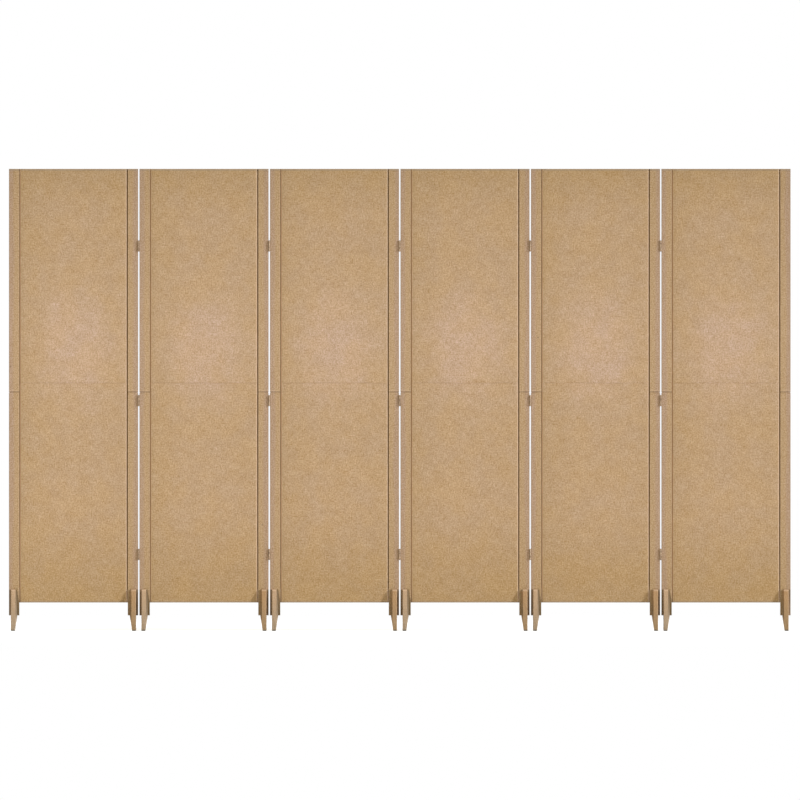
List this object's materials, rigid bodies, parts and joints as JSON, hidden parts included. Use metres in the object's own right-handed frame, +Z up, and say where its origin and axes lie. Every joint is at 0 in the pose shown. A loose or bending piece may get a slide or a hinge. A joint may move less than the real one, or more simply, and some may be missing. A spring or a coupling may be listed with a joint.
{
  "type": "folding screen",
  "caption": "Free-standing folding screen of woven-faced boards between slim stiles, linked edge to edge by double-acting hinges and stood on tapered fork feet.",
  "frame": {"origin": "on the floor under the middle of the screen as it stands straight", "axes": "+X along the row of panels to the right, +Y to the back of the screen, +Z up"},
  "size_m": [3.0426, 0.122, 1.798],
  "materials": {
    "stile_veneer": "matt sand-coloured veneer with a fine woven grain",
    "foot_veneer": "matt sand-coloured veneer, edges eased",
    "woven_infill": "plain-woven jute and linen cloth, cloudy sand colour, laminated on a light board",
    "hinge_bronze": "antique bronze, satin",
    "screw_steel": "bronzed steel"
  },
  "bodies": {
    "panel_1": {"panel_1_stiles_upper": "stile_veneer", "panel_1_stiles_lower": "stile_veneer", "panel_1_infill_upper": "woven_infill", "panel_1_infill_lower": "woven_infill", "panel_1_foot_left": "foot_veneer", "panel_1_foot_right": "foot_veneer", "panel_1_hinge_leaves": "hinge_bronze", "panel_1_hinge_screws": "screw_steel"},
    "panel_2": {"panel_2_stiles_upper": "stile_veneer", "panel_2_stiles_lower": "stile_veneer", "panel_2_infill_upper": "woven_infill", "panel_2_infill_lower": "woven_infill", "panel_2_foot_left": "foot_veneer", "panel_2_foot_right": "foot_veneer", "panel_2_hinge_leaves": "hinge_bronze", "panel_2_hinge_screws": "screw_steel"},
    "panel_3": {"panel_3_stiles_upper": "stile_veneer", "panel_3_stiles_lower": "stile_veneer", "panel_3_infill_upper": "woven_infill", "panel_3_infill_lower": "woven_infill", "panel_3_foot_left": "foot_veneer", "panel_3_foot_right": "foot_veneer", "panel_3_hinge_leaves": "hinge_bronze", "panel_3_hinge_screws": "screw_steel"},
    "panel_4": {"panel_4_stiles_upper": "stile_veneer", "panel_4_stiles_lower": "stile_veneer", "panel_4_infill_upper": "woven_infill", "panel_4_infill_lower": "woven_infill", "panel_4_foot_left": "foot_veneer", "panel_4_foot_right": "foot_veneer", "panel_4_hinge_leaves": "hinge_bronze", "panel_4_hinge_screws": "screw_steel"},
    "panel_5": {"panel_5_stiles_upper": "stile_veneer", "panel_5_stiles_lower": "stile_veneer", "panel_5_infill_upper": "woven_infill", "panel_5_infill_lower": "woven_infill", "panel_5_foot_left": "foot_veneer", "panel_5_foot_right": "foot_veneer", "panel_5_hinge_leaves": "hinge_bronze", "panel_5_hinge_screws": "screw_steel"},
    "panel_6": {"panel_6_stiles_upper": "stile_veneer", "panel_6_stiles_lower": "stile_veneer", "panel_6_infill_upper": "woven_infill", "panel_6_infill_lower": "woven_infill", "panel_6_foot_left": "foot_veneer", "panel_6_foot_right": "foot_veneer", "panel_6_hinge_leaves": "hinge_bronze", "panel_6_hinge_screws": "screw_steel"},
    "hinge_1": {"hinge_1_centre_leaves": "hinge_bronze", "hinge_1_pins": "hinge_bronze"},
    "hinge_2": {"hinge_2_centre_leaves": "hinge_bronze", "hinge_2_pins": "hinge_bronze"},
    "hinge_3": {"hinge_3_centre_leaves": "hinge_bronze", "hinge_3_pins": "hinge_bronze"},
    "hinge_4": {"hinge_4_centre_leaves": "hinge_bronze", "hinge_4_pins": "hinge_bronze"},
    "hinge_5": {"hinge_5_centre_leaves": "hinge_bronze", "hinge_5_pins": "hinge_bronze"}
  },
  "joints": [
    {"name": "fold_1_front", "type": "hinge", "parent": "hinge_1", "child": "panel_1", "pos_m": [-1.016, -0.0138, 0.896], "axis": [0, 0, 1], "range_deg": [0, 25]},
    {"name": "fold_1_rear", "type": "hinge", "parent": "panel_2", "child": "hinge_1", "pos_m": [-1.016, 0.0138, 0.896], "axis": [0, 0, 1], "range_deg": [-25, 0]},
    {"name": "fold_2_front", "type": "hinge", "parent": "hinge_2", "child": "panel_2", "pos_m": [-0.508, -0.0138, 0.896], "axis": [0, 0, -1], "range_deg": [-25, 0]},
    {"name": "fold_2_rear", "type": "hinge", "parent": "panel_3", "child": "hinge_2", "pos_m": [-0.508, 0.0138, 0.896], "axis": [0, 0, -1], "range_deg": [0, 25]},
    {"name": "fold_3_front", "type": "hinge", "parent": "panel_3", "child": "hinge_3", "pos_m": [0, -0.0138, 0.896], "axis": [0, 0, -1], "range_deg": [0, 25]},
    {"name": "fold_3_rear", "type": "hinge", "parent": "hinge_3", "child": "panel_4", "pos_m": [0, 0.0138, 0.896], "axis": [0, 0, -1], "range_deg": [-25, 0]},
    {"name": "fold_4_front", "type": "hinge", "parent": "panel_4", "child": "hinge_4", "pos_m": [0.508, -0.0138, 0.896], "axis": [0, 0, 1], "range_deg": [-25, 0]},
    {"name": "fold_4_rear", "type": "hinge", "parent": "hinge_4", "child": "panel_5", "pos_m": [0.508, 0.0138, 0.896], "axis": [0, 0, 1], "range_deg": [0, 25]},
    {"name": "fold_5_front", "type": "hinge", "parent": "panel_5", "child": "hinge_5", "pos_m": [1.016, -0.0138, 0.896], "axis": [0, 0, -1], "range_deg": [0, 25]},
    {"name": "fold_5_rear", "type": "hinge", "parent": "hinge_5", "child": "panel_6", "pos_m": [1.016, 0.0138, 0.896], "axis": [0, 0, -1], "range_deg": [-25, 0]}
  ]
}
